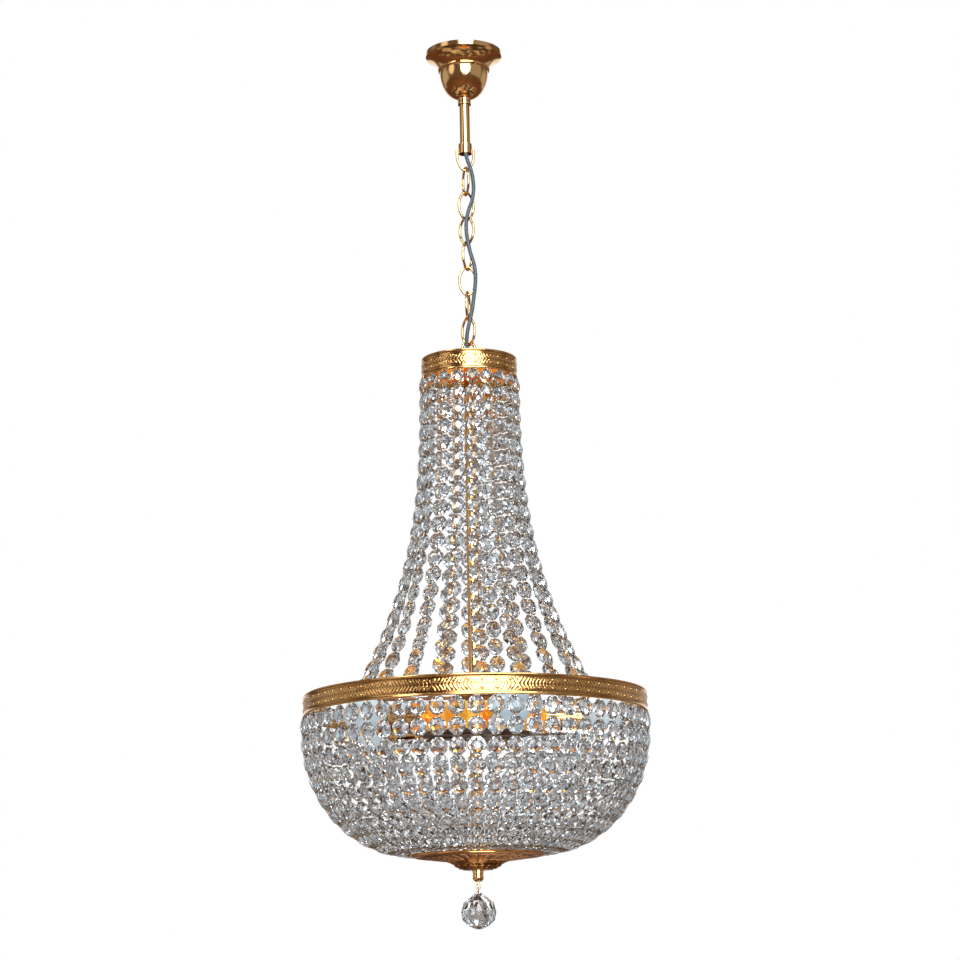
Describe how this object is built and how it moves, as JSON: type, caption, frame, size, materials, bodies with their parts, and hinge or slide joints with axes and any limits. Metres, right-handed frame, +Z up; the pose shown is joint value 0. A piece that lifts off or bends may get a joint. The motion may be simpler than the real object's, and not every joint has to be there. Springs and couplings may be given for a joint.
{
  "type": "crystal chandelier",
  "caption": "Hanging chandelier: brass canopy, tube and chain carry a funnel and a basket of crystal strands on stamped brass bands, with opal lamps inside and a faceted ball below.",
  "frame": {"origin": "ceiling plane, midway between the two screw slots, on the axis of the tube", "axes": "+Z up into the ceiling, X along the ceiling bracket, -Y to the front of the picture"},
  "size_m": [0.4058, 0.4062, 1.0592],
  "materials": {
    "brass": "polished",
    "stamped_brass": "embossed, lacquered",
    "zinc_steel": "zinc plated",
    "crystal": "clear, cut",
    "opal_glass": "opal, satin",
    "cable_sheath": "smooth",
    "terminal_plastic": "moulded",
    "holder_plastic": "moulded",
    "dark_metal": "dark bronze"
  },
  "bodies": {
    "ceiling_fixing": {"ceiling_bracket": "zinc_steel", "bracket_nuts": "zinc_steel", "terminal_block": "terminal_plastic", "down_tube": "brass", "tube_coupling": "brass", "supply_cable": "cable_sheath"},
    "canopy_cover": {"canopy": "brass", "canopy_collar": "brass", "collar_screw": "zinc_steel"},
    "link_1": {"chain_link_1": "brass"},
    "link_2": {"chain_link_2": "brass"},
    "link_3": {"chain_link_3": "brass"},
    "link_4": {"chain_link_4": "brass"},
    "link_5": {"chain_link_5": "brass"},
    "link_6": {"chain_link_6": "brass"},
    "link_7": {"chain_link_7": "brass"},
    "link_8": {"chain_link_8": "brass"},
    "chandelier": {"basket_strands_1": "crystal", "basket_strands_2": "crystal", "basket_strands_3": "crystal", "basket_strands_4": "crystal", "basket_strands_5": "crystal", "bottom_dish": "stamped_brass", "bottom_nipple": "zinc_steel", "bottom_ring": "brass", "bulb_caps": "zinc_steel", "bulb_globes": "opal_glass", "centre_tube": "brass", "crown_band": "stamped_brass", "crown_plate": "brass", "finial": "brass", "finial_washer": "brass", "frame_loop": "brass", "funnel_ring": "brass", "funnel_strands_1": "crystal", "funnel_strands_2": "crystal", "funnel_strands_3": "crystal", "funnel_strands_4": "crystal", "funnel_strands_5": "crystal", "lamp_body": "brass", "lamp_body_lid": "brass", "lamp_brackets": "dark_metal", "lamp_cups": "brass", "lamp_holder_cores": "holder_plastic", "lamp_nipples": "zinc_steel", "lamp_nuts": "zinc_steel", "lamp_sleeves": "brass", "lamp_spacers": "brass", "lamp_terminal_block": "terminal_plastic", "main_band": "stamped_brass", "ring_rivets": "brass", "ring_spider": "dark_metal", "tube_nuts": "zinc_steel", "tube_plug": "zinc_steel"},
    "ring_hanger": {"pendant_ring": "brass"},
    "ball_drop": {"ball_pin": "brass", "crystal_ball": "crystal"}
  },
  "joints": [
    {"name": "canopy_slide", "type": "slide", "parent": "ceiling_fixing", "child": "canopy_cover", "axis": [0, 0, 1], "range_m": [-0.045, 0]},
    {"name": "link_1_swing", "type": "hinge", "parent": "ceiling_fixing", "child": "link_1", "pos_m": [0, 0, -0.1245], "axis": [1, 0, 0], "range_deg": [-15, 15], "deforming": ["supply_cable"]},
    {"name": "link_2_swing", "type": "hinge", "parent": "link_1", "child": "link_2", "pos_m": [0, 0, -0.15045], "axis": [1, 0, 0], "range_deg": [-15, 15]},
    {"name": "link_3_swing", "type": "hinge", "parent": "link_2", "child": "link_3", "pos_m": [0, 0, -0.18185], "axis": [0.342, -0.9397, 0], "range_deg": [-15, 15]},
    {"name": "link_4_swing", "type": "hinge", "parent": "link_3", "child": "link_4", "pos_m": [0, 0, -0.21325], "axis": [0.8829, 0.4695, 0], "range_deg": [-15, 15]},
    {"name": "link_5_swing", "type": "hinge", "parent": "link_4", "child": "link_5", "pos_m": [0, 0, -0.24465], "axis": [0.829, -0.5592, 0], "range_deg": [-15, 15]},
    {"name": "link_6_swing", "type": "hinge", "parent": "link_5", "child": "link_6", "pos_m": [0, 0, -0.27605], "axis": [0.5, 0.866, 0], "range_deg": [-15, 15]},
    {"name": "link_7_swing", "type": "hinge", "parent": "link_6", "child": "link_7", "pos_m": [0, 0, -0.30745], "axis": [0.9994, -0.0349, 0], "range_deg": [-15, 15]},
    {"name": "link_8_swing", "type": "hinge", "parent": "link_7", "child": "link_8", "pos_m": [0, 0, -0.33885], "axis": [0.2079, 0.9781, 0], "range_deg": [-15, 15]},
    {"name": "chandelier_swing", "type": "hinge", "parent": "link_8", "child": "chandelier", "pos_m": [0, 0, -0.37025], "axis": [0.7547, -0.6561, 0], "range_deg": [-15, 15]},
    {"name": "ring_swing", "type": "hinge", "parent": "chandelier", "child": "ring_hanger", "pos_m": [0, 0, -1.00822], "axis": [1, 0, 0], "range_deg": [-25, 25]},
    {"name": "ball_swing", "type": "hinge", "parent": "ring_hanger", "child": "ball_drop", "pos_m": [0, 0, -1.01082], "axis": [0, 1, 0], "range_deg": [-25, 25]}
  ]
}
